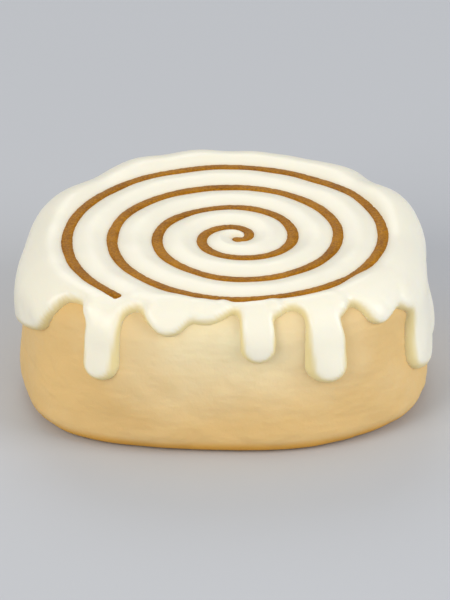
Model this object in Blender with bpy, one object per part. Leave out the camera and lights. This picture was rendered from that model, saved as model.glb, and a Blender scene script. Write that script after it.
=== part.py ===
"""Iced cinnamon roll, 0.11 m across, in metres with +Z up.

The middle of the flat base is at the origin and the front of the roll faces -Y.
Three solids: the baked dough, the spiral band of cinnamon filling that runs
through it from the base to the top, and the icing cap with its drips.
"""
import math

import bmesh
import bpy

# The bun: its round profile, and how its outline departs from a circle as shares of the radius,
# because its neighbours in the tin squared it a little and flattened its front
BUN_RADIUS = 0.0553
BUN_HEIGHT = 0.0428
BUN_MIDDLE_Y = -0.0018
SHOULDER_RADIUS = 0.009
BASE_RADIUS = 0.0065
WALL_BULGE = 0.0014
OVAL = 0.037
FLAT_FRONT = 0.030
SQUARENESS = 0.035
SKEW = 0.014

# Where the bun's foot tucks in, up to a height: degrees from +X, half the spread, share of the
# radius
TUCK_TOP = 0.026
FOOT_TUCKS = ((-118.0, 19.0, 0.048), (-49.0, 13.0, 0.031))

# The cinnamon spiral, wound a little off the middle of the roll: its inner end, the distance
# between its turns, and how far its top lies below the icing's and its foot above the base
SPIRAL_MIDDLE = (0.0032, -0.0062)
SPIRAL_PITCH = 0.0124
SPIRAL_TURNS = 3.875
SPIRAL_START = math.radians(-88.4)
FILLING_WIDTH = 0.0027
FILLING_RECESS = 0.0008
BASE_RECESS = 0.0003

# The icing's thickness on the top and down the side, the radius of its rounded edge on the
# drips and in the arches between them, how deep it dips along the spiral, and how much
# thicker a drip is in its drop
ICING_TOP = 0.003
ICING_SIDE = 0.0021
ICING_LIP = 0.0028
ARCH_LIP = 0.0016
VALLEY_DEPTH = 0.0011
DRIP_SWELL = 0.0006

# How far below the rim of the flat top the icing reaches between the drips, in front and at
# the back, how much further at the two sides, and how widely a drip blends into it
POOL_FRONT = 0.0040
POOL_BACK = 0.0085
POOL_SIDES = 0.008
SIDE_POWER = 6
DRIP_BLEND = 0.0043

# Each drip: where it runs down in degrees from +X, how far below the rim of the flat top it
# ends, half its width in its neck and half its width in its drop
DRIPS = (
    (-173.0, 0.0262, 0.0068, 0.0070),
    (-168.5, 0.0247, 0.0066, 0.0068),
    (-164.0, 0.0231, 0.0066, 0.0066),
    (-159.5, 0.0214, 0.0066, 0.0066),
    (-155.0, 0.0199, 0.0066, 0.0066),
    (-150.4, 0.0180, 0.0068, 0.0066),
    (-144.8, 0.0108, 0.0020, 0.0022),
    (-131.4, 0.0084, 0.0020, 0.0022),
    (-126.6, 0.0257, 0.0045, 0.0052),
    (-113.2, 0.0064, 0.0020, 0.0020),
    (-107.8, 0.0112, 0.0054, 0.0056),
    (-98.4, 0.0072, 0.0028, 0.0030),
    (-94.4, 0.0074, 0.0026, 0.0026),
    (-90.6, 0.0048, 0.0018, 0.0018),
    (-79.4, 0.0193, 0.0037, 0.0048),
    (-72.6, 0.0052, 0.0016, 0.0016),
    (-59.0, 0.0262, 0.0044, 0.0056),
    (-52.9, 0.0067, 0.0020, 0.0022),
    (-41.6, 0.0125, 0.0034, 0.0034),
    (-38.3, 0.0112, 0.0072, 0.0075),
    (-29.6, 0.0130, 0.0040, 0.0032),
    (-25.0, 0.0321, 0.0031, 0.0044),
    (-21.0, 0.0332, 0.0056, 0.0060),
    (-18.0, 0.0346, 0.0060, 0.0060),
    (-14.0, 0.0360, 0.0062, 0.0066),
    (-5.0, 0.0328, 0.0052, 0.0058),
    (13.0, 0.0205, 0.0044, 0.0046),
    (31.0, 0.0270, 0.0046, 0.0054),
    (48.0, 0.0146, 0.0036, 0.0034),
    (67.0, 0.0232, 0.0046, 0.0050),
    (88.0, 0.0308, 0.0050, 0.0058),
    (107.0, 0.0160, 0.0038, 0.0036),
    (125.0, 0.0258, 0.0044, 0.0052),
    (147.0, 0.0192, 0.0054, 0.0054),
    (168.0, 0.0225, 0.0050, 0.0050),
)

# Where the icing's rounded rim stands out or in: degrees from +X, half the spread, how far
RIM_WAVES = (
    (22.0, 13.0, 0.0016),
    (39.0, 8.0, -0.0010),
    (50.0, 8.0, 0.0006),
    (80.0, 8.0, 0.0008),
    (99.0, 14.0, 0.0018),
    (120.0, 8.0, 0.0013),
    (136.0, 7.0, -0.0008),
    (156.0, 10.0, 0.0009),
)

# The gap between neighbouring solids, and how finely they are faceted
GAP = 0.0003
BUN_STEPS = 60
SHOULDER_RINGS = 5
WALL_RINGS = 4
BASE_RINGS = 5
SPIRAL_STEPS = 130
SPIRAL_CROWDING = 0.75
END_STEPS = 5
ICING_STEPS = 300
ICING_RING = 0.0011
ICING_KEPT = 0.14

# The icing's body sinks this deep and this steeply into the bun where there is no icing, and
# its facets are pulled onto the icing's edge from this far
SUNK_DEPTH = 0.0015
SUNK_SLOPE = 3.0
EDGE_PULL = 0.0006
PROBE = 0.0001

FLAT_RADIUS = BUN_RADIUS - WALL_BULGE - SHOULDER_RADIUS
SHOULDER_ARC = SHOULDER_RADIUS * math.pi / 2
WALL_TOP = BUN_HEIGHT - SHOULDER_RADIUS
WALL_LENGTH = WALL_TOP - BASE_RADIUS
BASE_ARC = BASE_RADIUS * math.pi / 2


def clear_scene():
    for thing in list(bpy.data.objects):
        bpy.data.objects.remove(thing, do_unlink=True)


def add_collection(name):
    group = bpy.data.collections.new(name)
    bpy.context.scene.collection.children.link(group)
    return group


def add_material(name, colour, roughness):
    material = bpy.data.materials.new(name)
    material.use_nodes = True
    shader = material.node_tree.nodes["Principled BSDF"]
    shader.inputs["Base Color"].default_value = (*colour, 1.0)
    shader.inputs["Roughness"].default_value = roughness
    shader.inputs["Metallic"].default_value = 0.0
    return material


def add_object(name, bm, group, material=None):
    bmesh.ops.recalc_face_normals(bm, faces=bm.faces)
    mesh = bpy.data.meshes.new(name)
    bm.to_mesh(mesh)
    bm.free()
    thing = bpy.data.objects.new(name, mesh)
    group.objects.link(thing)
    if material:
        mesh.materials.append(material)
        mesh.shade_smooth()
    else:
        thing.hide_render = True
        thing.display_type = 'WIRE'
    return thing


def ease(value):
    value = min(max(value, 0.0), 1.0)
    return value * value * (3.0 - 2.0 * value)


def turn_from(azimuth, degrees):
    """The angle from one direction to another, at most half a turn either way."""
    return math.remainder(azimuth - math.radians(degrees), 2 * math.pi)


def plan_factor(azimuth):
    """How far the outline stands out from a circle in this direction."""
    return (1.0 + OVAL * math.cos(2 * azimuth) - FLAT_FRONT * math.sin(3 * azimuth)
            - SQUARENESS * math.cos(4 * azimuth) + SKEW * math.sin(2 * azimuth))


def body_factor(azimuth, height):
    """The same at any height, with the foot tucked in."""
    low = 1.0 - ease(height / TUCK_TOP)
    factor = plan_factor(azimuth)
    for degrees, spread, share in FOOT_TUCKS:
        turn = math.degrees(turn_from(azimuth, degrees))
        factor -= share * low * math.exp(-(turn / spread) ** 2)
    return factor


def skin_point(drop, out=0.0):
    """Radius and height of the bun's skin, drop metres down it from the rim of its flat top."""
    if drop < 0.0:
        return FLAT_RADIUS + drop, BUN_HEIGHT + out
    if drop < SHOULDER_ARC:
        angle = drop / SHOULDER_RADIUS
        reach = SHOULDER_RADIUS + out
        return FLAT_RADIUS + reach * math.sin(angle), WALL_TOP + reach * math.cos(angle)
    if drop < SHOULDER_ARC + WALL_LENGTH:
        share = (drop - SHOULDER_ARC) / WALL_LENGTH
        bulge = WALL_BULGE * 0.5 * (1.0 - math.cos(math.pi * share))
        return FLAT_RADIUS + SHOULDER_RADIUS + bulge + out, WALL_TOP - share * WALL_LENGTH
    angle = (drop - SHOULDER_ARC - WALL_LENGTH) / BASE_RADIUS
    reach = BASE_RADIUS + out
    return (BUN_RADIUS - BASE_RADIUS + reach * math.cos(angle),
            BASE_RADIUS - reach * math.sin(angle))


def drop_of(radius, height):
    """How far down the skin a point of the round profile lies."""
    if radius < FLAT_RADIUS:
        return radius - FLAT_RADIUS
    if height > WALL_TOP:
        return SHOULDER_RADIUS * math.atan2(radius - FLAT_RADIUS, height - WALL_TOP)
    return SHOULDER_ARC + WALL_TOP - height


def in_plan(radius, azimuth, height):
    reach = radius * body_factor(azimuth, height)
    return reach * math.cos(azimuth), reach * math.sin(azimuth) + BUN_MIDDLE_Y, height


def bun_drops():
    """Places down the skin where the coarse bun has its rings."""
    wall_end = SHOULDER_ARC + WALL_LENGTH
    rings = [SHOULDER_ARC * step / SHOULDER_RINGS for step in range(SHOULDER_RINGS)]
    rings += [SHOULDER_ARC + WALL_LENGTH * step / WALL_RINGS for step in range(WALL_RINGS)]
    rings += [wall_end + BASE_ARC * step / BASE_RINGS for step in range(BASE_RINGS + 1)]
    return rings


def spun(profile, steps):
    """A closed round body from a profile of (radius, height) points, top to bottom."""
    bm = bmesh.new()
    points = [bm.verts.new((radius, 0.0, height)) for radius, height in profile]
    chain = [bm.edges.new(pair) for pair in zip(points, points[1:])]
    bmesh.ops.spin(bm, geom=points + chain, axis=(0, 0, 1), cent=(0, 0, 0),
                   angle=2 * math.pi, steps=steps, use_merge=True)
    bmesh.ops.remove_doubles(bm, verts=bm.verts, dist=0.000001)
    bmesh.ops.holes_fill(bm, edges=bm.edges, sides=0)
    return bm


def bun_body(out=0.0):
    """The bun as a solid, its skin moved out by the gap that the icing keeps to it."""
    bm = spun([skin_point(drop, out) for drop in bun_drops()], BUN_STEPS)
    for vert in bm.verts:
        azimuth = math.atan2(vert.co.y, vert.co.x)
        vert.co = in_plan(math.hypot(vert.co.x, vert.co.y), azimuth, vert.co.z)
    return bm


def spiral_point(turns, aside=0.0):
    """A point of the spiral that many turns out from its middle, moved aside across it."""
    angle = SPIRAL_START + 2 * math.pi * turns
    reach = SPIRAL_PITCH * turns
    slope = math.atan2(SPIRAL_PITCH / (2 * math.pi), reach)
    across = angle - slope
    return (SPIRAL_MIDDLE[0] + reach * math.cos(angle) + aside * math.cos(across),
            SPIRAL_MIDDLE[1] + reach * math.sin(angle) + aside * math.sin(across))


def spiral_distance(x, y):
    """Distance from a point seen from above to the middle line of the spiral."""
    dx = x - SPIRAL_MIDDLE[0]
    dy = y - SPIRAL_MIDDLE[1]
    reach = math.hypot(dx, dy)
    part_turn = ((math.atan2(dy, dx) - SPIRAL_START) / (2 * math.pi)) % 1.0
    nearest = reach
    for whole in range(math.ceil(SPIRAL_TURNS)):
        if part_turn + whole < SPIRAL_TURNS:
            nearest = min(nearest, abs(reach - SPIRAL_PITCH * (part_turn + whole)))
    end_x, end_y = spiral_point(SPIRAL_TURNS)
    return min(nearest, math.hypot(x - end_x, y - end_y))


def spiral_outline(width):
    """The flat outline of the spiral band, with a round end outside and inside."""
    half = width / 2
    first = FILLING_WIDTH / SPIRAL_PITCH / 4
    shares = [(step / SPIRAL_STEPS) ** SPIRAL_CROWDING for step in range(SPIRAL_STEPS + 1)]
    turns = [first + (SPIRAL_TURNS - first) * share for share in shares]
    outer = [spiral_point(turn, half) for turn in turns]
    inner = [spiral_point(turn, -half) for turn in reversed(turns)]
    return outer + round_end(turns[-1], half, 1) + inner + round_end(turns[0], half, -1)


def round_end(turns, half, way):
    """Half a circle round one end of the band, from its outer side or back to it."""
    middle_x, middle_y = spiral_point(turns)
    side_x, side_y = spiral_point(turns, half * way)
    start = math.atan2(side_y - middle_y, side_x - middle_x)
    angles = [start + math.pi * step / END_STEPS for step in range(1, END_STEPS)]
    return [(middle_x + half * math.cos(angle), middle_y + half * math.sin(angle))
            for angle in angles]


def spiral_band(width, low, high):
    """The band as a mesh, extruded from a flat curve and then welded."""
    curve = bpy.data.curves.new("spiral outline", 'CURVE')
    curve.dimensions = '2D'
    curve.fill_mode = 'BOTH'
    curve.extrude = (high - low) / 2
    points = spiral_outline(width)
    line = curve.splines.new('POLY')
    line.points.add(len(points) - 1)
    for point, (x, y) in zip(line.points, points):
        point.co = (x, y, 0.0, 1.0)
    line.use_cyclic_u = True
    holder = bpy.data.objects.new("spiral outline", curve)
    bpy.context.scene.collection.objects.link(holder)
    depsgraph = bpy.context.evaluated_depsgraph_get()
    flat = bpy.data.meshes.new_from_object(holder.evaluated_get(depsgraph))
    bpy.data.objects.remove(holder, do_unlink=True)
    bm = bmesh.new()
    bm.from_mesh(flat)
    bmesh.ops.remove_doubles(bm, verts=bm.verts, dist=0.000001)
    bmesh.ops.translate(bm, verts=bm.verts, vec=(0.0, 0.0, (high + low) / 2))
    return bm


def skin_heights(x, y):
    """Heights of the bun's skin above and below a point seen from above."""
    azimuth = math.atan2(y - BUN_MIDDLE_Y, x)
    reach = math.hypot(x, y - BUN_MIDDLE_Y)
    over = min(max(reach / plan_factor(azimuth) - FLAT_RADIUS, 0.0), SHOULDER_RADIUS)
    base_radius = reach / body_factor(azimuth, 0.0)
    under = min(max(base_radius - BUN_RADIUS + BASE_RADIUS, 0.0), BASE_RADIUS)
    return (WALL_TOP + math.sqrt(SHOULDER_RADIUS ** 2 - over ** 2),
            BASE_RADIUS - math.sqrt(BASE_RADIUS ** 2 - under ** 2))


def icing_inset(azimuth, drop):
    """How far a place on the skin lies inside the icing's edge; negative outside it."""
    back = 0.5 + 0.5 * math.sin(azimuth)
    inset = POOL_FRONT + (POOL_BACK - POOL_FRONT) * back - drop
    inset += POOL_SIDES * math.cos(azimuth) ** SIDE_POWER
    girth = BUN_RADIUS * plan_factor(azimuth)
    for degrees, length, neck, bulb in DRIPS:
        aside = girth * turn_from(azimuth, degrees)
        bulb_middle = length - bulb
        widening = ease((drop - bulb_middle + 3 * bulb) / (2 * bulb))
        half = neck + (bulb - neck) * widening
        reach = half - math.hypot(aside, max(drop - bulb_middle, 0.0))
        overlap = max(DRIP_BLEND - abs(inset - reach), 0.0)
        inset = max(inset, reach) + overlap ** 2 / (4 * DRIP_BLEND)
    return inset


def drop_swell(azimuth, drop):
    """Extra thickness in the round end of each drip."""
    girth = BUN_RADIUS * plan_factor(azimuth)
    swell = 0.0
    for degrees, length, neck, bulb in DRIPS:
        away = math.hypot(girth * turn_from(azimuth, degrees), drop - length + bulb)
        swell = max(swell, DRIP_SWELL * (1.0 - ease(away / (neck + bulb))))
    return swell


def rim_wave(azimuth, drop):
    """How far the icing's rounded rim stands out here beyond its even thickness."""
    wave = 0.0
    for degrees, spread, amount in RIM_WAVES:
        turn = math.degrees(turn_from(azimuth, degrees))
        wave += amount * math.exp(-(turn / spread) ** 2)
    middle = SHOULDER_ARC / 2
    return wave * math.exp(-((drop - middle) / middle) ** 2)


def lip_width(drop):
    """How wide the rounded edge of the icing is; it is narrower high up, between the drips."""
    return ARCH_LIP + (ICING_LIP - ARCH_LIP) * ease((drop - SHOULDER_ARC / 2) / SHOULDER_ARC)


def icing_thickness(azimuth, drop):
    inset = icing_inset(azimuth, drop)
    if inset <= 0.0:
        return max(SUNK_SLOPE * inset, -SUNK_DEPTH)
    full = ICING_TOP + (ICING_SIDE - ICING_TOP) * ease(drop / SHOULDER_ARC)
    full += drop_swell(azimuth, drop) + rim_wave(azimuth, drop)
    radius, height = skin_point(drop, full)
    x, y, _ = in_plan(radius, azimuth, height)
    valley = math.cos(min(spiral_distance(x, y) / SPIRAL_PITCH, 0.5) * math.pi) ** 2
    full -= VALLEY_DEPTH * valley * (1.0 - ease(drop / SHOULDER_ARC))
    lip = 1.0 - min(inset / lip_width(drop), 1.0)
    return full * math.sqrt(1.0 - lip * lip)


def onto_edge(azimuth, drop):
    """Moves a place close to the icing's edge onto it, so that the facets follow the edge."""
    inset = icing_inset(azimuth, drop)
    if abs(inset) > EDGE_PULL:
        return azimuth, drop
    girth = BUN_RADIUS * plan_factor(azimuth)
    along = (icing_inset(azimuth + PROBE / girth, drop) - inset) / PROBE
    down = (icing_inset(azimuth, drop + PROBE) - inset) / PROBE
    steepness = along ** 2 + down ** 2
    return azimuth - inset * along / steepness / girth, drop - inset * down / steepness


def icing_body():
    """A skin like the bun's, lifted by the icing's thickness and sunk where there is none."""
    lowest = SHOULDER_ARC + WALL_LENGTH
    count = round((FLAT_RADIUS + lowest) / ICING_RING)
    drops = [-FLAT_RADIUS + (FLAT_RADIUS + lowest) * step / count for step in range(count + 1)]
    bm = spun([skin_point(drop) for drop in drops], ICING_STEPS)
    for vert in bm.verts:
        drop = drop_of(math.hypot(vert.co.x, vert.co.y), vert.co.z)
        azimuth, drop = onto_edge(math.atan2(vert.co.y, vert.co.x), drop)
        thickness = icing_thickness(azimuth, drop)
        radius, height = skin_point(drop, thickness)
        vert.co = in_plan(radius, azimuth, height)
    return bm


def cut(thing, cutter):
    boolean = thing.modifiers.new("cut by " + cutter.name, 'BOOLEAN')
    boolean.operation = 'DIFFERENCE'
    boolean.object = cutter


def make_dough(parts, slot):
    dough = add_object("dough", bun_body(), parts,
                       add_material("baked dough", (0.72, 0.50, 0.26), 0.7))
    cut(dough, slot)


def make_filling(parts):
    bm = spiral_band(FILLING_WIDTH, 0.0, BUN_HEIGHT)
    for vert in bm.verts:
        top, base = skin_heights(vert.co.x, vert.co.y)
        if vert.co.z > BUN_HEIGHT / 2:
            vert.co.z = top + ICING_TOP - FILLING_RECESS
        else:
            vert.co.z = base + BASE_RECESS
    add_object("cinnamon_filling", bm, parts,
               add_material("cinnamon sugar paste", (0.38, 0.17, 0.03), 0.5))


def make_icing(parts, slot, bun):
    icing = add_object("icing", icing_body(), parts,
                       add_material("cream icing", (0.92, 0.87, 0.73), 0.35))
    fewer = icing.modifiers.new("fewer faces", 'DECIMATE')
    fewer.ratio = ICING_KEPT
    fewer.use_collapse_triangulate = True
    cut(icing, bun)
    cut(icing, slot)


clear_scene()
roll = add_collection("Cinnamon roll")
cutters = add_collection("Cutters")
slot_body = spiral_band(FILLING_WIDTH + 2 * GAP, -ICING_TOP, BUN_HEIGHT + 3 * ICING_TOP)
slot_cutter = add_object("slot", slot_body, cutters)
bun_cutter = add_object("bun with gap", bun_body(GAP), cutters)
make_dough(roll, slot_cutter)
make_filling(roll)
make_icing(roll, slot_cutter, bun_cutter)
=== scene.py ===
import math

import bmesh
import bpy
import numpy as np
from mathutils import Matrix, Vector, noise


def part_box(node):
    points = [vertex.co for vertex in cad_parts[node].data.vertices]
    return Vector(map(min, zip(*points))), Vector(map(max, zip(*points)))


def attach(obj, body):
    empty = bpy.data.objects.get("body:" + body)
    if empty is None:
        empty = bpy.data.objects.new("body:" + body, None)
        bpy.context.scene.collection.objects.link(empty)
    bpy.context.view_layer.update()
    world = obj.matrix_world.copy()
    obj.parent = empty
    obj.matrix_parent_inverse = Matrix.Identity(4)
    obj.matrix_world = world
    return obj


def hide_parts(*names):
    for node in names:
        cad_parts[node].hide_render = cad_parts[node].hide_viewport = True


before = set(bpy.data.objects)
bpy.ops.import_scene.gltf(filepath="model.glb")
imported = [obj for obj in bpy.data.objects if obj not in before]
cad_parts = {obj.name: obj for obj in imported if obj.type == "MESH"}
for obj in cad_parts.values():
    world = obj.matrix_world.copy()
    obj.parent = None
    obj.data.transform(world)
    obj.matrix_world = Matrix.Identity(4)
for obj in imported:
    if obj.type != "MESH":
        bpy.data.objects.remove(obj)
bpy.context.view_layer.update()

# The dough: a round of enriched yeast dough, proved and baked in a tin with its neighbours,
# which squared its outline a little and left its front flat, soft and pale. Its colour also
# holds a painted highlight, palest on the front and darker golden towards the sides. The
# crust is golden, dull and faintly wrinkled, and browner where it stood on the hot tin.
BUN_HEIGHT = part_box("dough")[1].z
BUN_RADIUS = 0.0553
BUN_MIDDLE_Y = -0.0018
SHOULDER_RADIUS = 0.009
BASE_RADIUS = 0.0065
WALL_BULGE = 0.0014
OVAL = 0.037
FLAT_FRONT = 0.030
SQUARENESS = 0.035
SKEW = 0.014
TUCK_TOP = 0.026
FLAT_RADIUS = BUN_RADIUS - WALL_BULGE - SHOULDER_RADIUS
SHOULDER_ARC = SHOULDER_RADIUS * math.pi / 2
WALL_TOP = BUN_HEIGHT - SHOULDER_RADIUS
WALL_LENGTH = WALL_TOP - BASE_RADIUS
WALL_END = SHOULDER_ARC + WALL_LENGTH
BASE_ARC = BASE_RADIUS * math.pi / 2
CRUST_STEPS = 440
CRUST_RING = 0.0007
HIDDEN_RING = 0.0018
POLE_WELD = 1e-7
BASE_LIMIT = 1e-6
LUMP_SIZE = 0.016
LUMP_DEPTH = 0.0011
LUMP_START = 11.0
TOP_LUMPS = 0.35
DIMPLE_SIZE = 0.0055
DIMPLE_DEPTH = 0.00032
DIMPLE_START = 5.0
CREASE_LENGTH = 0.010
CREASE_WIDTH = 0.0026
CREASE_DEPTH = 0.00020
CREASE_SHARPNESS = 5.0

# Where the foot tucks in: degrees from +X, half the spread, share of the radius
FOOT_TUCKS = ((-118.0, 19.0, 0.048), (-49.0, 13.0, 0.031))


def ease(value):
    value = np.clip(value, 0.0, 1.0)
    return value * value * (3.0 - 2.0 * value)


def turn_from(azimuth, degrees):
    """The angle from one direction to each azimuth, at most half a turn either way."""
    return (azimuth - math.radians(degrees) + math.pi) % (2 * math.pi) - math.pi


def plan_factor(azimuth):
    """How far the outline stands out from a circle in each direction."""
    return (1.0 + OVAL * np.cos(2 * azimuth) - FLAT_FRONT * np.sin(3 * azimuth)
            - SQUARENESS * np.cos(4 * azimuth) + SKEW * np.sin(2 * azimuth))


def body_factor(azimuth, height):
    """The same at any height, with the foot tucked in."""
    low = 1.0 - ease(height / TUCK_TOP)
    factor = plan_factor(azimuth)
    for degrees, spread, share in FOOT_TUCKS:
        turn = np.degrees(turn_from(azimuth, degrees))
        factor = factor - share * low * np.exp(-(turn / spread) ** 2)
    return factor


def skin_profile(drop, out=0.0):
    """Radius and height of the skin, drop metres down it from the rim of its flat top."""
    top_angle = np.clip(drop, 0.0, SHOULDER_ARC) / SHOULDER_RADIUS
    share = np.clip((drop - SHOULDER_ARC) / WALL_LENGTH, 0.0, 1.0)
    low_angle = np.clip(drop - WALL_END, 0.0, BASE_ARC) / BASE_RADIUS
    bulge = WALL_BULGE * 0.5 * (1.0 - np.cos(math.pi * share))
    radius = (FLAT_RADIUS + np.minimum(drop, 0.0) + (SHOULDER_RADIUS + out) * np.sin(top_angle)
              + bulge - (BASE_RADIUS + out) * (1.0 - np.cos(low_angle)))
    height = (BUN_HEIGHT + out - (SHOULDER_RADIUS + out) * (1.0 - np.cos(top_angle))
              - share * WALL_LENGTH - (BASE_RADIUS + out) * np.sin(low_angle))
    return radius, height


def drop_of(radius, height):
    """How far down the skin each point of the round profile lies."""
    shoulder = SHOULDER_RADIUS * np.arctan2(radius - FLAT_RADIUS, height - WALL_TOP)
    low = WALL_END + BASE_RADIUS * np.arctan2(BASE_RADIUS - height,
                                              radius - BUN_RADIUS + BASE_RADIUS)
    drop = np.where(height > WALL_TOP, shoulder, SHOULDER_ARC + WALL_TOP - height)
    drop = np.where(height < BASE_RADIUS, low, drop)
    return np.where((radius < FLAT_RADIUS) & (height > WALL_TOP), radius - FLAT_RADIUS, drop)


def on_skin(azimuth, drop, out=0.0):
    """Points on the bun, or the given distance off it."""
    radius, height = skin_profile(drop, out)
    reach = radius * body_factor(azimuth, height)
    return np.stack([reach * np.cos(azimuth), reach * np.sin(azimuth) + BUN_MIDDLE_Y, height], 1)


def read_points(mesh):
    flat = np.empty(len(mesh.vertices) * 3)
    mesh.vertices.foreach_get("co", flat)
    return flat.reshape(-1, 3)


def write_points(mesh, points):
    mesh.vertices.foreach_set("co", points.ravel())
    mesh.update()
    mesh.shade_smooth()


def flat_grid(name, across, along):
    """A flat grid as a mesh, and each point's place in it, counted across and along."""
    bm = bmesh.new()
    bmesh.ops.create_grid(bm, x_segments=across, y_segments=along, size=0.5)
    mesh = bpy.data.meshes.new(name)
    bm.to_mesh(mesh)
    bm.free()
    places = (read_points(mesh)[:, :2] + 0.5) * (across, along)
    return mesh, np.rint(places[:, 0]).astype(int), np.rint(places[:, 1]).astype(int)


def weld(mesh, distance):
    """Joins the points that have met, fills open ends and turns the faces outwards."""
    bm = bmesh.new()
    bm.from_mesh(mesh)
    bmesh.ops.remove_doubles(bm, verts=bm.verts, dist=distance)
    bmesh.ops.holes_fill(bm, edges=bm.edges, sides=0)
    bmesh.ops.recalc_face_normals(bm, faces=bm.faces)
    bm.to_mesh(mesh)
    bm.free()


def round_mesh(name, radii, heights, steps):
    """A closed round mesh: a grid wrapped round the middle, its rows set by the profile."""
    mesh, step, ring = flat_grid(name, steps, len(radii) - 1)
    azimuth = 2 * math.pi * step / steps
    radius = radii[ring]
    write_points(mesh, np.stack([radius * np.cos(azimuth), radius * np.sin(azimuth),
                                 heights[ring]], 1))
    weld(mesh, POLE_WELD)
    return mesh


def write_shares(mesh, name, values):
    """Keeps a number for each point, which a material can read by name."""
    layer = mesh.attributes.new(name, 'FLOAT', 'POINT')
    layer.data.foreach_set("value", values)


def noise_at(points, size, start=0.0):
    """Smooth noise about zero at each point; its lumps have this size, its start is its own."""
    shift = Vector((start, start, start))
    return np.array([noise.noise(Vector(point) + shift) for point in points / size])


def lumps(points):
    """The slow unevenness of the bun, which all that lies on it follows, slighter on top."""
    share = TOP_LUMPS + (1.0 - TOP_LUMPS) * ease((BUN_HEIGHT - points[:, 2]) / SHOULDER_RADIUS)
    return LUMP_DEPTH * share * noise_at(points, LUMP_SIZE, LUMP_START)


def add_piece(mesh, material, node):
    """One finished piece, which takes the place of a node and rides on the roll."""
    mesh.materials.append(material)
    piece = bpy.data.objects.new(mesh.name, mesh)
    bpy.context.scene.collection.objects.link(piece)
    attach(piece, "root")
    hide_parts(node)
    return piece


def linear(code):
    """The linear colour that a shader takes, from an sRGB hex value."""
    parts = [int(code[start:start + 2], 16) / 255 for start in (1, 3, 5)]
    parts = [part / 12.92 if part <= 0.04045 else ((part + 0.055) / 1.055) ** 2.4
             for part in parts]
    return (*parts, 1.0)


def new_material(name):
    material = bpy.data.materials.new(name)
    material.use_nodes = True
    return material.node_tree, material.node_tree.nodes["Principled BSDF"], material


def add_node(tree, kind, inputs, **settings):
    """A shader node; each input is a value, or another node's output to link from."""
    node = tree.nodes.new(kind)
    for name, value in settings.items():
        setattr(node, name, value)
    for name, value in inputs.items():
        if isinstance(value, bpy.types.NodeSocket):
            tree.links.new(value, node.inputs[name])
        else:
            node.inputs[name].default_value = value
    return node


def add_stops(ramp, stops):
    """Sets the colours of a colour ramp from (position, hex value) pairs."""
    elements = ramp.color_ramp.elements
    while len(elements) < len(stops):
        elements.new(0.5)
    for element, (position, code) in zip(elements, stops):
        element.position = position
        element.color = linear(code)


# The spiral that the dough was rolled into, which its underside and the icing dip along, and
# the place where the filling's round inner end lies, a little short of the spiral's middle
SPIRAL_MIDDLE = (0.0032, -0.0062)
SPIRAL_PITCH = 0.0124
SPIRAL_TURNS = 3.875
SPIRAL_START = math.radians(-88.4)
INNER_END = (0.0036, -0.0072)
FOOT_GROOVE = 0.0005
FOOT_GROOVE_WIDTH = 0.0019


def spiral_point(turns, aside=0.0):
    """A point of the spiral that many turns out from its middle, moved aside across it."""
    angle = SPIRAL_START + 2 * math.pi * turns
    reach = SPIRAL_PITCH * turns
    across = angle - np.arctan2(SPIRAL_PITCH / (2 * math.pi), reach)
    return (SPIRAL_MIDDLE[0] + reach * np.cos(angle) + aside * np.cos(across),
            SPIRAL_MIDDLE[1] + reach * np.sin(angle) + aside * np.sin(across))


def spiral_distance(x, y):
    """Distance from each point, seen from above, to the middle line of the spiral."""
    dx = x - SPIRAL_MIDDLE[0]
    dy = y - SPIRAL_MIDDLE[1]
    reach = np.hypot(dx, dy)
    part_turn = ((np.arctan2(dy, dx) - SPIRAL_START) / (2 * math.pi)) % 1.0
    nearest = np.minimum(reach, np.hypot(x - INNER_END[0], y - INNER_END[1]))
    for whole in range(math.ceil(SPIRAL_TURNS)):
        turns = part_turn + whole
        away = np.abs(reach - SPIRAL_PITCH * turns)
        nearest = np.where(turns < SPIRAL_TURNS, np.minimum(nearest, away), nearest)
    end_x, end_y = spiral_point(SPIRAL_TURNS)
    return np.minimum(nearest, np.hypot(x - end_x, y - end_y))


def bun_mesh(name, ring, hidden_ring, steps):
    """The round bun, with rings fine down its side and wide apart on its top and base."""
    side_length = WALL_END + BASE_ARC
    top = np.linspace(-FLAT_RADIUS, 0.0, round(FLAT_RADIUS / hidden_ring), endpoint=False)
    side = np.linspace(0.0, side_length, round(side_length / ring) + 1)
    radii, heights = skin_profile(np.concatenate([top, side]))
    base = np.linspace(radii[-1], 0.0, round(radii[-1] / hidden_ring) + 1)[1:]
    radii = np.concatenate([radii, base])
    heights = np.concatenate([heights, np.full(len(base), heights[-1])])
    return round_mesh(name, radii, heights, steps)


dough_mesh = bun_mesh("baked_dough", CRUST_RING, HIDDEN_RING, CRUST_STEPS)
round_points = read_points(dough_mesh)
azimuths = np.arctan2(round_points[:, 1], round_points[:, 0])
radii = np.hypot(round_points[:, 0], round_points[:, 1])
drops = drop_of(radii, round_points[:, 2])
on_base = (round_points[:, 2] < BASE_LIMIT) & (radii < BUN_RADIUS - BASE_RADIUS + BASE_LIMIT)
smooth_skin = on_skin(azimuths, drops)
creases = np.abs(noise_at(smooth_skin * (1.0, 1.0, CREASE_LENGTH / CREASE_WIDTH), CREASE_LENGTH))
relief = lumps(smooth_skin) + DIMPLE_DEPTH * noise_at(smooth_skin, DIMPLE_SIZE, DIMPLE_START)
relief -= CREASE_DEPTH * (1.0 - np.minimum(creases * CREASE_SHARPNESS, 1.0)) ** 2
relief *= 1.0 - ease((drops - WALL_END) / BASE_ARC)
points = on_skin(azimuths, drops, relief)
base_reach = radii * body_factor(azimuths, 0.0)
base_x = base_reach * np.cos(azimuths)
base_y = base_reach * np.sin(azimuths) + BUN_MIDDLE_Y
groove = FOOT_GROOVE * np.exp(-(spiral_distance(base_x, base_y) / FOOT_GROOVE_WIDTH) ** 2)
base_points = np.stack([base_x, base_y, groove], 1)
points = np.where(on_base[:, None], base_points, points)
write_points(dough_mesh, points)
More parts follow.
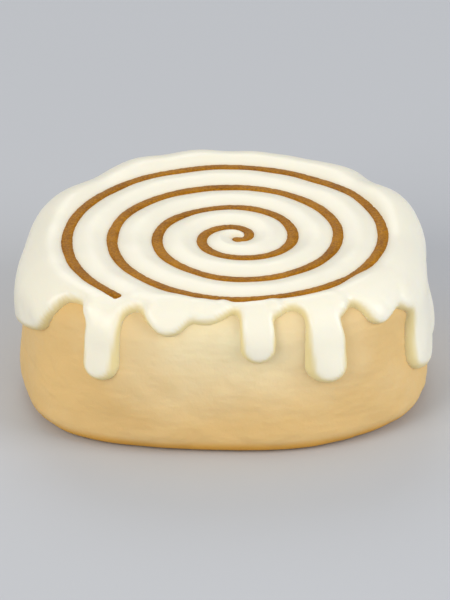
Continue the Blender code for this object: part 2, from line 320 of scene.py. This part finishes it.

# Crust of enriched white dough: a dull, slightly translucent skin of about IOR 1.45, palest
# in the middle of the front, partly where it was soft against its neighbour and partly as a
# painted highlight that darkens to golden towards the sides, and brown round the foot. The
# pores are about 0.8 mm wide, a little coarser than real ones so that they show.
# The pale spot is partly a painted highlight: the crust is palest where light falls on the front
PALE_HIGHLIGHT_SPOT = (0.001, -0.050, 0.035)
PALE_HIGHLIGHT_REACH = 0.046
PALE_HIGHLIGHT_SQUASH = 1.65
FOOT_BROWN_TOP = 0.0048
FOOT_BROWN_FULL = 0.0018
BLOTCH_SIZE = 0.014
BLOTCH_SHARE = 0.10
PORE_SIZE = 0.0008
PORE_DEPTH = 0.00012
SKIN_GRAIN = 0.0024
SKIN_GRAIN_DEPTH = 0.0003
tree, shader, crust_material = new_material("baked yeast dough crust")
place = tree.nodes.new("ShaderNodeTexCoord").outputs["Object"]
height = add_node(tree, "ShaderNodeSeparateXYZ", {0: place}).outputs["Z"]
squashed = add_node(tree, "ShaderNodeVectorMath", {0: place, 1: (1.0, 1.0, PALE_HIGHLIGHT_SQUASH)},
                    operation='MULTIPLY')
away = add_node(tree, "ShaderNodeVectorMath",
                {0: squashed.outputs[0], 1: (*PALE_HIGHLIGHT_SPOT[:2], PALE_HIGHLIGHT_SPOT[2] * PALE_HIGHLIGHT_SQUASH)},
                operation='DISTANCE')
away = add_node(tree, "ShaderNodeMapRange", {0: away.outputs["Value"], 2: PALE_HIGHLIGHT_REACH})
blotch = add_node(tree, "ShaderNodeTexNoise",
                  {"Vector": place, "Scale": 1 / BLOTCH_SIZE, "Detail": 3.0})
blotch_share = add_node(tree, "ShaderNodeMapRange",
                        {0: blotch.outputs[0], 1: 0.3, 2: 0.7, 3: -BLOTCH_SHARE, 4: BLOTCH_SHARE})
# Painted highlight and shade: the crust goes from pale at the front spot to darker golden away from
# it
golden_and_shade = add_node(tree, "ShaderNodeMath", {0: away.outputs[0], 1: blotch_share.outputs[0]})
crust_ramp = add_node(tree, "ShaderNodeValToRGB", {0: golden_and_shade.outputs[0]})
add_stops(crust_ramp, ((0.0, "#f3e6bd"), (0.25, "#ecd9ac"), (0.6, "#e6cb97"), (1.0, "#e3bf80")))
foot_share = add_node(tree, "ShaderNodeMapRange",
                      {0: height, 1: FOOT_BROWN_TOP, 2: FOOT_BROWN_FULL, 3: 0.0, 4: 1.0},
                      interpolation_type='SMOOTHSTEP')
foot_brown = add_node(tree, "ShaderNodeMix",
                      {0: foot_share.outputs[0], 6: crust_ramp.outputs[0], 7: linear("#e2aa46")},
                      data_type='RGBA')
tree.links.new(foot_brown.outputs[2], shader.inputs["Base Color"])
pores = add_node(tree, "ShaderNodeTexNoise",
                 {"Vector": place, "Scale": 1 / PORE_SIZE, "Detail": 2.0})
grain = add_node(tree, "ShaderNodeTexNoise",
                 {"Vector": place, "Scale": 1 / SKIN_GRAIN, "Detail": 3.0})
grain_bump = add_node(tree, "ShaderNodeBump",
                      {"Strength": 0.5, "Distance": SKIN_GRAIN_DEPTH, "Height": grain.outputs[0]})
pore_bump = add_node(tree, "ShaderNodeBump",
                     {"Strength": 0.5, "Distance": PORE_DEPTH, "Height": pores.outputs[0],
                      "Normal": grain_bump.outputs[0]})
tree.links.new(pore_bump.outputs[0], shader.inputs["Normal"])
shader.inputs["Roughness"].default_value = 0.62
shader.inputs["IOR"].default_value = 1.45
shader.inputs["Specular IOR Level"].default_value = 0.35
shader.inputs["Subsurface Weight"].default_value = 0.15
shader.inputs["Subsurface Radius"].default_value = (1.0, 0.6, 0.3)
shader.inputs["Subsurface Scale"].default_value = 0.003
add_piece(dough_mesh, crust_material, "dough")

# The cinnamon filling: butter, brown sugar and cinnamon spread on the dough before it was
# rolled. It runs through the roll as one spiral band, and its moist grainy crown shows in
# the groove of the icing, which lies between the turns. Both its ends are blunt and round.
FILLING_WIDTH = 0.0033
FILLING_RECESS = 0.0008
CROWN_DROP = 0.0006
FOOT_HEIGHT = 0.00015
INNER_TURNS = 0.13
INNER_RUN = 0.0008
TIGHTEST_SHARE = 0.95
ICING_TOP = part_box("cinnamon_filling")[1].z - BUN_HEIGHT + FILLING_RECESS
ALONG_STEP = 0.00045
MEASURED_STEPS = 4000
END_WELD = 2e-6
END_SEGMENTS = 10
CROWN_SEGMENTS = 12
SIDE_SEGMENTS = 5
FOOT_SEGMENTS = 4
WIDTH_WANDER = 0.06
WANDER_LENGTH = 0.004
CRUMB_SIZE = 0.0009
CRUMB_DEPTH = 0.00012
CRUMB_START = 3.0


def skin_heights(x, y):
    """Heights of the bun's skin above and below each point seen from above."""
    azimuth = np.arctan2(y - BUN_MIDDLE_Y, x)
    reach = np.hypot(x, y - BUN_MIDDLE_Y)
    over = np.clip(reach / plan_factor(azimuth) - FLAT_RADIUS, 0.0, SHOULDER_RADIUS)
    base_radius = reach / body_factor(azimuth, 0.0)
    under = np.clip(base_radius - BUN_RADIUS + BASE_RADIUS, 0.0, BASE_RADIUS)
    return (WALL_TOP + np.sqrt(SHOULDER_RADIUS ** 2 - over ** 2),
            BASE_RADIUS - np.sqrt(BASE_RADIUS ** 2 - under ** 2))


def section_outline():
    """The band's cross-section once round: share of the half width, and share of the height."""
    crown = [(-math.cos(math.pi * step / CROWN_SEGMENTS), 1.0) for step in range(CROWN_SEGMENTS)]
    right = [(1.0, 1.0 - step / SIDE_SEGMENTS) for step in range(SIDE_SEGMENTS)]
    foot = [(math.cos(math.pi * step / FOOT_SEGMENTS), 0.0) for step in range(FOOT_SEGMENTS)]
    left = [(-1.0, step / SIDE_SEGMENTS) for step in range(SIDE_SEGMENTS)]
    return np.array(crown + right + foot + left)


# The band is a tube along the spiral, which it leaves at its inner end for a short straight
# run; where the spiral is tight its inner side stops short of folding over itself
half_width = FILLING_WIDTH / 2
fine_turns = np.linspace(INNER_TURNS, SPIRAL_TURNS, MEASURED_STEPS)
fine_x, fine_y = spiral_point(fine_turns)
fine_along = np.concatenate([[0.0], np.cumsum(np.hypot(np.diff(fine_x), np.diff(fine_y)))])
band_length = fine_along[-1]
end_places = half_width * np.cos(np.linspace(0, math.pi / 2, END_SEGMENTS + 1))
along = np.concatenate([-INNER_RUN - end_places,
                        np.arange(ALONG_STEP - INNER_RUN, band_length, ALONG_STEP),
                        band_length + end_places[::-1]])
outline = section_outline()
filling_mesh, row, column = flat_grid("cinnamon_swirl", len(along) - 1, len(outline))
column = column % len(outline)
place_along = along[row]
inside_along = np.clip(place_along, 0.0, band_length)
turns = np.interp(inside_along, fine_along, fine_turns)
off_curve = place_along - inside_along
past_end = (place_along - np.clip(place_along, -INNER_RUN, band_length)) / half_width
way_along = np.stack([inside_along, turns * 0, turns * 0], 1)
wander = 1.0 + WIDTH_WANDER * noise_at(way_along, WANDER_LENGTH)
half = half_width * np.sqrt(np.maximum(1.0 - past_end ** 4, 0.0)) * wander
bend = SPIRAL_PITCH / (2 * math.pi)
sweep = 2 * math.pi * turns
tightest = bend * (1 + sweep ** 2) ** 1.5 / (2 + sweep ** 2)
aside = outline[column, 0] * half
aside = np.where(place_along > 0, np.maximum(aside, -TIGHTEST_SHARE * tightest), aside)
x, y = spiral_point(turns, aside)
across = SPIRAL_START + sweep - np.arctan2(bend, SPIRAL_PITCH * turns)
x -= off_curve * np.sin(across)
y += off_curve * np.cos(across)
top, base = skin_heights(x, y)
crown = top + ICING_TOP - FILLING_RECESS
from_middle = np.minimum((outline[column, 0] * half / half_width) ** 2 + past_end ** 4, 1.0)
crown -= CROWN_DROP * (1.0 - np.sqrt(1.0 - from_middle))
crumbs = noise_at(np.stack([x, y, crown], 1), CRUMB_SIZE, CRUMB_START)
crown += lumps(np.stack([x, y, top], 1)) + CRUMB_DEPTH * crumbs
foot = base + FOOT_HEIGHT
share_up = outline[column, 1]
write_points(filling_mesh, np.stack([x, y, foot + (crown - foot) * share_up], 1))
weld(filling_mesh, END_WELD)
filling_mesh.shade_smooth()

# Cinnamon sugar paste, baked: dark crystals in a paler buttery syrup of about IOR 1.48, moist
# enough to glint. The crystals are drawn about 0.6 mm wide so that they show.
CRYSTAL_SIZE = 0.0006
CRYSTAL_DEPTH = 0.00015
SYRUP_PATCH = 0.006
PATCH_SHARE = 0.35
tree, shader, filling_material = new_material("baked cinnamon sugar paste")
place = tree.nodes.new("ShaderNodeTexCoord").outputs["Object"]
crystals = add_node(tree, "ShaderNodeTexNoise",
                    {"Vector": place, "Scale": 1 / CRYSTAL_SIZE, "Detail": 3.0})
patches = add_node(tree, "ShaderNodeTexNoise",
                   {"Vector": place, "Scale": 1 / SYRUP_PATCH, "Detail": 2.0})
mixed = add_node(tree, "ShaderNodeMix",
                 {0: PATCH_SHARE, 2: crystals.outputs[0], 3: patches.outputs[0]},
                 data_type='FLOAT')
filling_ramp = add_node(tree, "ShaderNodeValToRGB", {0: mixed.outputs[0]})
add_stops(filling_ramp, ((0.34, "#824f00"), (0.50, "#a26a08"), (0.66, "#b87d12")))
tree.links.new(filling_ramp.outputs[0], shader.inputs["Base Color"])
crystal_bump = add_node(tree, "ShaderNodeBump",
                        {"Strength": 0.6, "Distance": CRYSTAL_DEPTH, "Height": crystals.outputs[0]})
tree.links.new(crystal_bump.outputs[0], shader.inputs["Normal"])
shader.inputs["Roughness"].default_value = 0.45
shader.inputs["IOR"].default_value = 1.48
shader.inputs["Specular IOR Level"].default_value = 0.12
add_piece(filling_mesh, filling_material, "cinnamon_filling")

# The icing: cream cheese and sugar beaten soft and poured over the warm roll. It lies 3 mm
# thick on top, plump between the turns of the swirl, rounds over the shoulder and has run
# down the side in drips with thick round ends before it set.
ICING_SIDE = 0.0021
ICING_LIP = 0.0026
ARCH_LIP = 0.0016
VALLEY_DEPTH = 0.0011
RIBBON_DIP = 0.00035
RIBBON_DIP_WIDTH = 0.0019
RIBBON_DIP_END = 0.003
DRIP_SWELL = 0.0006
POOL_FRONT = 0.0040
POOL_BACK = 0.0085
POOL_SIDES = 0.008
SIDE_POWER = 6
DRIP_BLEND = 0.0043
ICING_STEPS = 560
ICING_RING = 0.0006
SUNK_DEPTH = 0.0022
SUNK_SLOPE = 3.0
CUTTER_DEPTH = 0.0006
CUTTER_STEPS = 180
CUTTER_RING = 0.0018
ARCH_TINT = 0.45
DRIP_TINT = 0.10
TINT_RANGE = 0.5
RIPPLE_SIZE = 0.008
RIPPLE_DEPTH = 0.00022
RIPPLE_START = 7.0
PROBE = 0.00005
LEAST_STEEPNESS = 0.25

# Each drip: where it runs down in degrees from +X, how far below the rim of the flat top it
# ends, half its width in its neck and half its width in its drop. Drips side by side make a
# broad lobe, as on the left of the front and on the right.
DRIPS = (
    (-173.0, 0.0262, 0.0068, 0.0070),
    (-168.5, 0.0247, 0.0066, 0.0068),
    (-164.0, 0.0231, 0.0066, 0.0066),
    (-159.5, 0.0214, 0.0066, 0.0066),
    (-155.0, 0.0199, 0.0066, 0.0066),
    (-150.4, 0.0180, 0.0068, 0.0066),
    (-144.8, 0.0108, 0.0020, 0.0022),
    (-131.4, 0.0084, 0.0020, 0.0022),
    (-126.6, 0.0257, 0.0045, 0.0052),
    (-113.2, 0.0064, 0.0020, 0.0020),
    (-107.8, 0.0112, 0.0054, 0.0056),
    (-98.4, 0.0072, 0.0028, 0.0030),
    (-94.4, 0.0074, 0.0026, 0.0026),
    (-90.6, 0.0048, 0.0018, 0.0018),
    (-79.4, 0.0193, 0.0037, 0.0048),
    (-72.6, 0.0052, 0.0016, 0.0016),
    (-59.0, 0.0262, 0.0044, 0.0056),
    (-52.9, 0.0067, 0.0020, 0.0022),
    (-41.6, 0.0125, 0.0034, 0.0034),
    (-38.3, 0.0112, 0.0072, 0.0075),
    (-29.6, 0.0130, 0.0040, 0.0032),
    (-25.0, 0.0321, 0.0031, 0.0044),
    (-21.0, 0.0332, 0.0056, 0.0060),
    (-18.0, 0.0346, 0.0060, 0.0060),
    (-14.0, 0.0360, 0.0062, 0.0066),
    (-5.0, 0.0328, 0.0052, 0.0058),
    (13.0, 0.0205, 0.0044, 0.0046),
    (31.0, 0.0270, 0.0046, 0.0054),
    (48.0, 0.0146, 0.0036, 0.0034),
    (67.0, 0.0232, 0.0046, 0.0050),
    (88.0, 0.0308, 0.0050, 0.0058),
    (107.0, 0.0160, 0.0038, 0.0036),
    (125.0, 0.0258, 0.0044, 0.0052),
    (147.0, 0.0192, 0.0054, 0.0054),
    (168.0, 0.0225, 0.0050, 0.0050),
)

# Where the icing's rounded rim stands out or in: degrees from +X, half the spread, how far
RIM_WAVES = (
    (22.0, 13.0, 0.0016),
    (39.0, 8.0, -0.0010),
    (50.0, 8.0, 0.0006),
    (80.0, 8.0, 0.0008),
    (99.0, 14.0, 0.0018),
    (120.0, 8.0, 0.0013),
    (136.0, 7.0, -0.0008),
    (156.0, 10.0, 0.0009),
)


def icing_inset(azimuth, drop):
    """How far each place on the skin lies inside the icing's edge; negative outside it."""
    back = 0.5 + 0.5 * np.sin(azimuth)
    inset = POOL_FRONT + (POOL_BACK - POOL_FRONT) * back - drop
    inset = inset + POOL_SIDES * np.cos(azimuth) ** SIDE_POWER
    girth = BUN_RADIUS * plan_factor(azimuth)
    for degrees, length, neck, bulb in DRIPS:
        sideways = girth * turn_from(azimuth, degrees)
        bulb_middle = length - bulb
        half = neck + (bulb - neck) * ease((drop - bulb_middle + 3 * bulb) / (2 * bulb))
        reach = half - np.hypot(sideways, np.maximum(drop - bulb_middle, 0.0))
        overlap = np.maximum(DRIP_BLEND - np.abs(inset - reach), 0.0)
        inset = np.maximum(inset, reach) + overlap ** 2 / (4 * DRIP_BLEND)
    return inset


def drop_swell(azimuth, drop):
    """Extra thickness in the round end of each drip."""
    girth = BUN_RADIUS * plan_factor(azimuth)
    swell = np.zeros_like(drop)
    for degrees, length, neck, bulb in DRIPS:
        from_drop = np.hypot(girth * turn_from(azimuth, degrees), drop - length + bulb)
        swell = np.maximum(swell, DRIP_SWELL * (1.0 - ease(from_drop / (neck + bulb))))
    return swell


def rim_wave(azimuth, drop):
    """How far the icing's rounded rim stands out beyond its even thickness."""
    wave = np.zeros_like(drop)
    for degrees, spread, amount in RIM_WAVES:
        turn = np.degrees(turn_from(azimuth, degrees))
        wave += amount * np.exp(-(turn / spread) ** 2)
    middle = SHOULDER_ARC / 2
    return wave * np.exp(-((drop - middle) / middle) ** 2)


def lip_width(drop):
    """How wide the rounded edge of the icing is; it is narrower high up, between the drips."""
    return ARCH_LIP + (ICING_LIP - ARCH_LIP) * ease((drop - SHOULDER_ARC / 2) / SHOULDER_ARC)


icing_rings = round((FLAT_RADIUS + WALL_END) / ICING_RING)
radii, heights = skin_profile(np.linspace(-FLAT_RADIUS, WALL_END, icing_rings + 1))
icing_mesh = round_mesh("cream_icing", radii, heights, ICING_STEPS)
round_points = read_points(icing_mesh)
azimuths = np.arctan2(round_points[:, 1], round_points[:, 0])
drops = drop_of(np.hypot(round_points[:, 0], round_points[:, 1]), round_points[:, 2])

# The points near the icing's edge crowd towards it, so that the lip is evenly rounded
inset = icing_inset(azimuths, drops)
girth = BUN_RADIUS * plan_factor(azimuths)
slope_along = (icing_inset(azimuths + PROBE / girth, drops) - inset) / PROBE
slope_down = (icing_inset(azimuths, drops + PROBE) - inset) / PROBE
steepness = np.maximum(slope_along ** 2 + slope_down ** 2, LEAST_STEEPNESS)
lip_size = lip_width(drops)
lip_turn = np.clip(inset / lip_size, 0.0, 1.0) * math.pi / 2
crowded = np.where((inset > 0) & (inset < lip_size), lip_size * (1 - np.cos(lip_turn)), inset)
shift = (crowded - inset) / steepness
azimuths = azimuths + shift * slope_along / girth
drops = drops + shift * slope_down
inset = icing_inset(azimuths, drops)

skin = on_skin(azimuths, drops)
shoulder_share = ease(drops / SHOULDER_ARC)
thickness = ICING_TOP + (ICING_SIDE - ICING_TOP) * shoulder_share
thickness += drop_swell(azimuths, drops) + rim_wave(azimuths, drops)
full = on_skin(azimuths, drops, thickness)
from_spiral = spiral_distance(full[:, 0], full[:, 1])
valley = np.cos(np.minimum(from_spiral / SPIRAL_PITCH, 0.5) * math.pi) ** 2
dip = np.exp(-(from_spiral / RIBBON_DIP_WIDTH) ** 4) * (1.0 - ease(drops / RIBBON_DIP_END))
thickness -= (VALLEY_DEPTH * valley + RIBBON_DIP * dip) * (1.0 - shoulder_share)
thickness += RIPPLE_DEPTH * noise_at(skin, RIPPLE_SIZE, RIPPLE_START)
lip = 1.0 - np.clip(inset / lip_width(drops), 0.0, 1.0)
outside = np.maximum(SUNK_SLOPE * inset, -SUNK_DEPTH)
lift = np.where(inset > 0, thickness * np.sqrt(1.0 - lip ** 2), outside)
points = on_skin(azimuths, drops, lift + lumps(skin))
write_points(icing_mesh, points)
# The edge share: a darker yellow band round the icing's rim, partly thin icing over the dough and
# partly painted shade where the lip turns under
edge_shade_from = ARCH_TINT + (DRIP_TINT - ARCH_TINT) * ease((drops - SHOULDER_ARC / 2) / SHOULDER_ARC)
write_shares(icing_mesh, "edge", ease((lip - edge_shade_from) / TINT_RANGE))
write_shares(icing_mesh, "by_ribbon", dip * (1.0 - shoulder_share))

# The icing is closed below by cutting off what would lie inside the bun, just under its crust
cutter_mesh = bun_mesh("under_icing", CUTTER_RING, CUTTER_RING, CUTTER_STEPS)
round_points = read_points(cutter_mesh)
cut_azimuths = np.arctan2(round_points[:, 1], round_points[:, 0])
cut_radii = np.hypot(round_points[:, 0], round_points[:, 1])
cut_drops = drop_of(cut_radii, round_points[:, 2])
cut_skin = on_skin(cut_azimuths, cut_drops)
cut_points = on_skin(cut_azimuths, cut_drops, lumps(cut_skin) - CUTTER_DEPTH)
flat_base = (round_points[:, 2] < BASE_LIMIT)[:, None]
base_level = round_points - (0.0, 0.0, CUTTER_RING)
write_points(cutter_mesh, np.where(flat_base, base_level, cut_points))
icing_source = bpy.data.objects.new("icing_source", icing_mesh)
cutter = bpy.data.objects.new("under_icing", cutter_mesh)
bpy.context.scene.collection.objects.link(icing_source)
bpy.context.scene.collection.objects.link(cutter)
cut = icing_source.modifiers.new("lies on the bun", 'BOOLEAN')
cut.operation = 'DIFFERENCE'
cut.solver = 'MANIFOLD'
cut.object = cutter
depsgraph = bpy.context.evaluated_depsgraph_get()
finished_icing = bpy.data.meshes.new_from_object(icing_source.evaluated_get(depsgraph))
bpy.data.objects.remove(icing_source, do_unlink=True)
bpy.data.objects.remove(cutter, do_unlink=True)
bpy.data.meshes.remove(icing_mesh)
finished_icing.name = "cream_icing"

# Set cream icing: dense and a little translucent, of about IOR 1.46, with a satin skin. Where
# it runs thin beside the swirl it goes a warmer yellow. At the edges of the drips, the warmer,
# darker yellow band is partly thin icing over the dough and partly painted shade where the
# lip turns under.
WAVE_SIZE = 0.003
WAVE_DEPTH = 0.0002
RIBBON_STAIN = 0.45
tree, shader, icing_material = new_material("set cream icing")
place = tree.nodes.new("ShaderNodeTexCoord").outputs["Object"]
edge = add_node(tree, "ShaderNodeAttribute", {}, attribute_name="edge").outputs["Fac"]
beside = add_node(tree, "ShaderNodeAttribute", {}, attribute_name="by_ribbon").outputs["Fac"]
beside_share = add_node(tree, "ShaderNodeMath", {0: beside, 1: RIBBON_STAIN},
                        operation='MULTIPLY')
# Partly painted shade: the icing's rim is tinted a darker yellow
edge_tint_and_shade = add_node(tree, "ShaderNodeMix",
                  {0: edge, 6: linear("#f7f2df"), 7: linear("#ead9a0")},
                  data_type='RGBA')
stained = add_node(tree, "ShaderNodeMix",
                   {0: beside_share.outputs[0], 6: edge_tint_and_shade.outputs[2], 7: linear("#e6cf9f")},
                   data_type='RGBA')
tree.links.new(stained.outputs[2], shader.inputs["Base Color"])
waves = add_node(tree, "ShaderNodeTexNoise",
                 {"Vector": place, "Scale": 1 / WAVE_SIZE, "Detail": 2.0})
wave_bump = add_node(tree, "ShaderNodeBump",
                     {"Strength": 0.25, "Distance": WAVE_DEPTH, "Height": waves.outputs[0]})
tree.links.new(wave_bump.outputs[0], shader.inputs["Normal"])
shader.inputs["Roughness"].default_value = 0.36
shader.inputs["IOR"].default_value = 1.46
shader.inputs["Subsurface Weight"].default_value = 0.3
shader.inputs["Subsurface Radius"].default_value = (1.0, 0.85, 0.55)
shader.inputs["Subsurface Scale"].default_value = 0.002
finished_icing.materials.clear()
add_piece(finished_icing, icing_material, "icing")

# The floor: a plain pale board, wide enough that its edge shows in no view
FLOOR_SIZE = 12.0
bm = bmesh.new()
bmesh.ops.create_grid(bm, x_segments=1, y_segments=1, size=FLOOR_SIZE / 2)
floor_mesh = bpy.data.meshes.new("floor")
bm.to_mesh(floor_mesh)
bm.free()
floor = bpy.data.objects.new("floor", floor_mesh)
bpy.context.scene.collection.objects.link(floor)
tree, shader, floor_material = new_material("matt pale board")
shader.inputs["Base Color"].default_value = linear("#c3c6cb")
shader.inputs["Roughness"].default_value = 0.9
floor_mesh.materials.append(floor_material)

# Soft studio light: a broad key lamp high on the left in front, a weaker one on the right
# and one behind, and an even pale room
LIGHTS = (
    ("key lamp", (-0.80, -0.85, 0.70), 0.80, 8.6, "#fffaf2"),
    ("fill lamp", (1.05, -0.45, 0.50), 0.80, 7.4, "#fbfcff"),
    ("back lamp", (-0.15, 0.95, 0.90), 0.70, 3.0, "#ffffff"),
)
LOOKED_AT = Vector((0.0, 0.0, 0.02))
ROOM_LIGHT = 0.52
for name, position, size, power, colour in LIGHTS:
    lamp = bpy.data.lights.new(name, 'AREA')
    lamp.shape = 'DISK'
    lamp.size = size
    lamp.energy = power
    lamp.color = linear(colour)[:3]
    holder = bpy.data.objects.new(name, lamp)
    holder.location = position
    holder.rotation_euler = (LOOKED_AT - holder.location).to_track_quat('-Z', 'Y').to_euler()
    bpy.context.scene.collection.objects.link(holder)
world = bpy.data.worlds.new("pale room")
world.use_nodes = True
room = world.node_tree.nodes["Background"]
room.inputs["Color"].default_value = linear("#f4f5f7")
room.inputs["Strength"].default_value = ROOM_LIGHT
bpy.context.scene.world = world
bpy.context.scene.view_settings.view_transform = 'Standard'

# The camera: a long lens, level across, looking down at the angle from which the roll is
# shown; the spiral's middle falls on its own place in the 450 by 600 frame
LOOK_DOWN = math.radians(26.9)
METRES_PER_PIXEL = 0.0002743
FRAME_SIZE = (450, 600)
MIDDLE_PIXEL = (236.3, 237.3)
MIDDLE_Y = -0.0081
LENS = 1000.0
SENSOR = 36.0
up = Vector((0.0, math.sin(LOOK_DOWN), math.cos(LOOK_DOWN)))
right = Vector((1.0, 0.0, 0.0))
back = Vector((0.0, -math.cos(LOOK_DOWN), math.sin(LOOK_DOWN)))
aim = Vector((SPIRAL_MIDDLE[0], MIDDLE_Y, BUN_HEIGHT + ICING_TOP))
aim += right * (FRAME_SIZE[0] / 2 - MIDDLE_PIXEL[0]) * METRES_PER_PIXEL
aim -= up * (FRAME_SIZE[1] / 2 - MIDDLE_PIXEL[1]) * METRES_PER_PIXEL
camera_data = bpy.data.cameras.new("camera")
camera_data.lens = LENS
camera_data.sensor_width = SENSOR
camera = bpy.data.objects.new("camera", camera_data)
camera.location = aim + back * (FRAME_SIZE[1] * METRES_PER_PIXEL * LENS / SENSOR)
camera.rotation_euler = (math.pi / 2 - LOOK_DOWN, 0.0, 0.0)
bpy.context.scene.collection.objects.link(camera)
bpy.context.scene.camera = camera
